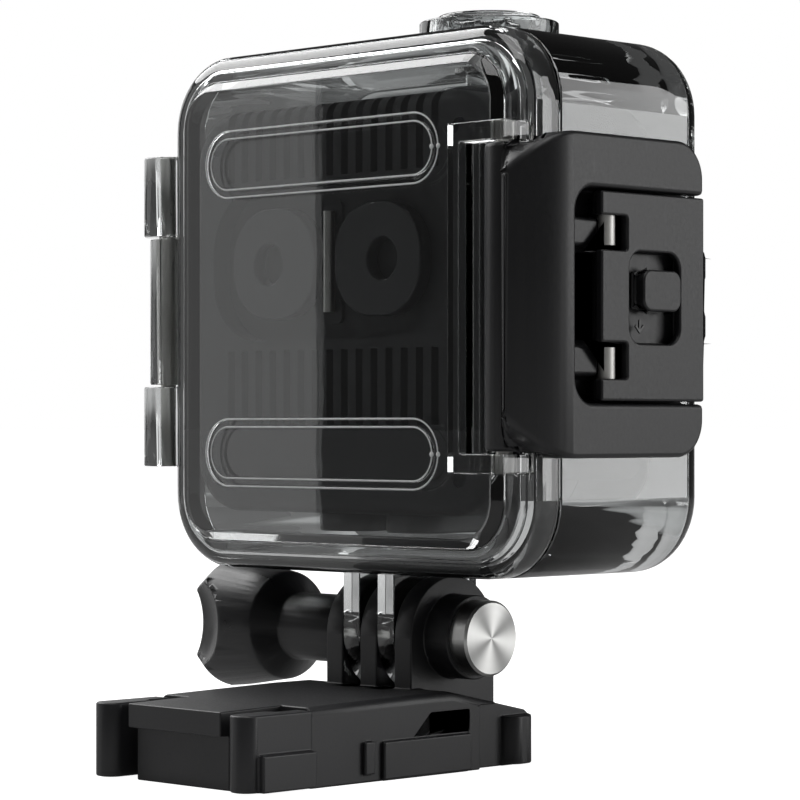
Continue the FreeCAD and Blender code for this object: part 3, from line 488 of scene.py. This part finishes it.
# ABS, satin-moulded: a soft black with an even low sheen, finer grained than the buckle.
satin_abs = moulded_black("abs_satin_moulded", "#151517", "#1b1b1d", 0.4, 0.42, 0.006)
dress(satin_abs, "latch_frame", "latch_lever", "lock_slider")
break_edges(0.6, "latch_frame")
break_edges(0.3, "latch_lever", "lock_slider")
# Pins, tumbled: the same steel with a matt, even sheen all round.
dress(drawn_metal("stainless_steel_tumbled", "#d9d8d5", "#c8c7c3", 0.3, 0.5), "latch_lever_pins")

arrow_depth = 0.2 * MM
floor_x = -37.0 * MM
arrow_y = -1.2 * MM
arrow_z = 53.4 * MM
arrow = bmesh.new()
outline = [(0, 0), (1.1, 1.1), (0.8, 1.4), (0.2, 0.8), (0.2, 2.1),
           (-0.2, 2.1), (-0.2, 0.8), (-0.8, 1.4), (-1.1, 1.1)]
rim = [arrow.verts.new((floor_x, arrow_y + y * MM * 0.8, arrow_z + z * MM * 0.8)) for y, z in outline]
face = arrow.faces.new(rim)
raised = bmesh.ops.extrude_face_region(arrow, geom=[face])
for item in raised["geom"]:
    if isinstance(item, bmesh.types.BMVert):
        item.co.x -= arrow_depth
bmesh.ops.recalc_face_normals(arrow, faces=arrow.faces)
arrow_mesh = bpy.data.meshes.new("unlock_arrow")
arrow.to_mesh(arrow_mesh)
arrow.free()
unlock_arrow = bpy.data.objects.new("unlock_arrow", arrow_mesh)
bpy.context.collection.objects.link(unlock_arrow)
soft = unlock_arrow.modifiers.new("rounded_edges", "BEVEL")
soft.width = 0.06 * MM
soft.segments = 2
# The arrow is glossier and blacker than the recess round it, so it shows as a dark mark.
arrow_mesh.materials.append(moulded_black("abs_arrow_gloss", "#050505", "#080808", 0.4, 0.3, 0.003))
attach(unlock_arrow, "lever")

# ---------------------------------------------------------------- studio
# A white paper floor, four soft boxes, a lit card on the hinge side and the camera. Floor and room are
# white to the camera but dim to reflected and refracted rays, so that the clear edges come out dark.

floor_half = 40
floor_mesh = bpy.data.meshes.new("floor")
floor_mesh.from_pydata([(-floor_half, -floor_half, 0), (floor_half, -floor_half, 0),
                        (floor_half, floor_half, 0), (-floor_half, floor_half, 0)], [], [(0, 1, 2, 3)])
floor = bpy.data.objects.new("floor", floor_mesh)
bpy.context.collection.objects.link(floor)
paper, spot = blank_material("paper_sweep_uncoated")
seen = add(paper, "LightPath")
glow = add(paper, "MapRange", {"To Min": 0.06, "To Max": 1.0}, {"Value": seen.outputs["Is Camera Ray"]})
fibre = add(paper, "TexNoise", {"Scale": 1000 / 2}, {"Vector": spot})
pulp = add(paper, "Mix", {"data_type": "RGBA", "A": srgb("#b6b6b6"), "B": srgb("#bababa")},
           {"Factor": fibre.outputs["Fac"]})
sheet = add(paper, "BsdfPrincipled", {"Roughness": 0.9, "Emission Color": (1, 1, 1, 1)},
            {"Base Color": pulp.outputs["Result"], "Emission Strength": glow.outputs["Result"]})
add(paper, "OutputMaterial", links={"Surface": sheet.outputs["BSDF"]})
floor_mesh.materials.append(paper)


def soft_box(name, place, aim, wide, high, watts):
    """A soft rectangular light that faces a point."""
    data = bpy.data.lights.new(name, "AREA")
    data.shape = "RECTANGLE"
    data.size = wide
    data.size_y = high
    data.energy = watts
    light = bpy.data.objects.new(name, data)
    light.location = place
    light.rotation_euler = (Vector(aim) - Vector(place)).to_track_quat("-Z", "Y").to_euler()
    bpy.context.collection.objects.link(light)


middle = (0, 0, 0.05)
soft_box("latch_side_box", (-0.5, -0.42, 0.12), middle, 0.35, 0.6, 2.1)
soft_box("door_side_box", (0.4985, 0.2793, 0.1), (0.1, -0.1, 0.06), 0.3, 0.5, 0.3)
soft_box("high_hinge_box", (0.55, 0.05, 0.55), middle, 0.5, 0.5, 4.0)
soft_box("overhead_box", (-0.1, 0.1, 0.6), middle, 0.3, 0.5, 1.4)

# The camera does not see the card. It shows only through the clear walls that bend its light.
card_x = 0.35
card_front = -0.257
card_back = 0.02
card_foot = 0.001
card_top = 0.2
card_mesh = bpy.data.meshes.new("hinge_side_card")
card_mesh.from_pydata([(card_x, card_front, card_foot), (card_x, card_back, card_foot),
                       (card_x, card_back, card_top), (card_x, card_front, card_top)], [], [(0, 1, 2, 3)])
card = bpy.data.objects.new("hinge_side_card", card_mesh)
bpy.context.collection.objects.link(card)
board, spot = blank_material("card_white_lit")
fibre = add(board, "TexNoise", {"Scale": 1000 / 2}, {"Vector": spot})
pulp = add(board, "Mix", {"data_type": "RGBA", "A": srgb("#fbfbfb"), "B": srgb("#ffffff")},
           {"Factor": fibre.outputs["Fac"]})
lit = add(board, "Emission", {"Strength": 1.0}, {"Color": pulp.outputs["Result"]})
add(board, "OutputMaterial", links={"Surface": lit.outputs["Emission"]})
card_mesh.materials.append(board)
card.visible_camera = False

room = bpy.data.worlds.new("dim_room")
bpy.context.scene.world = room
room.use_nodes = True
seen = add(room, "LightPath")
backdrop = add(room, "Mix", {"data_type": "RGBA", "A": (0.06, 0.06, 0.06, 1), "B": (1, 1, 1, 1)},
               {"Factor": seen.outputs["Is Camera Ray"]})
room.node_tree.links.new(backdrop.outputs["Result"], room.node_tree.nodes["Background"].inputs["Color"])
bpy.context.scene.view_settings.view_transform = "Standard"

lens = bpy.data.cameras.new("camera")
lens.sensor_width = 36
lens.lens = 137.2
lens.shift_y = 0.034
viewer = bpy.data.objects.new("camera", lens)
viewer.location = (-0.27278, 0.27463, 0.04233)
viewer.rotation_euler = (math.radians(90), 0, math.radians(225))
bpy.context.collection.objects.link(viewer)
bpy.context.scene.camera = viewer
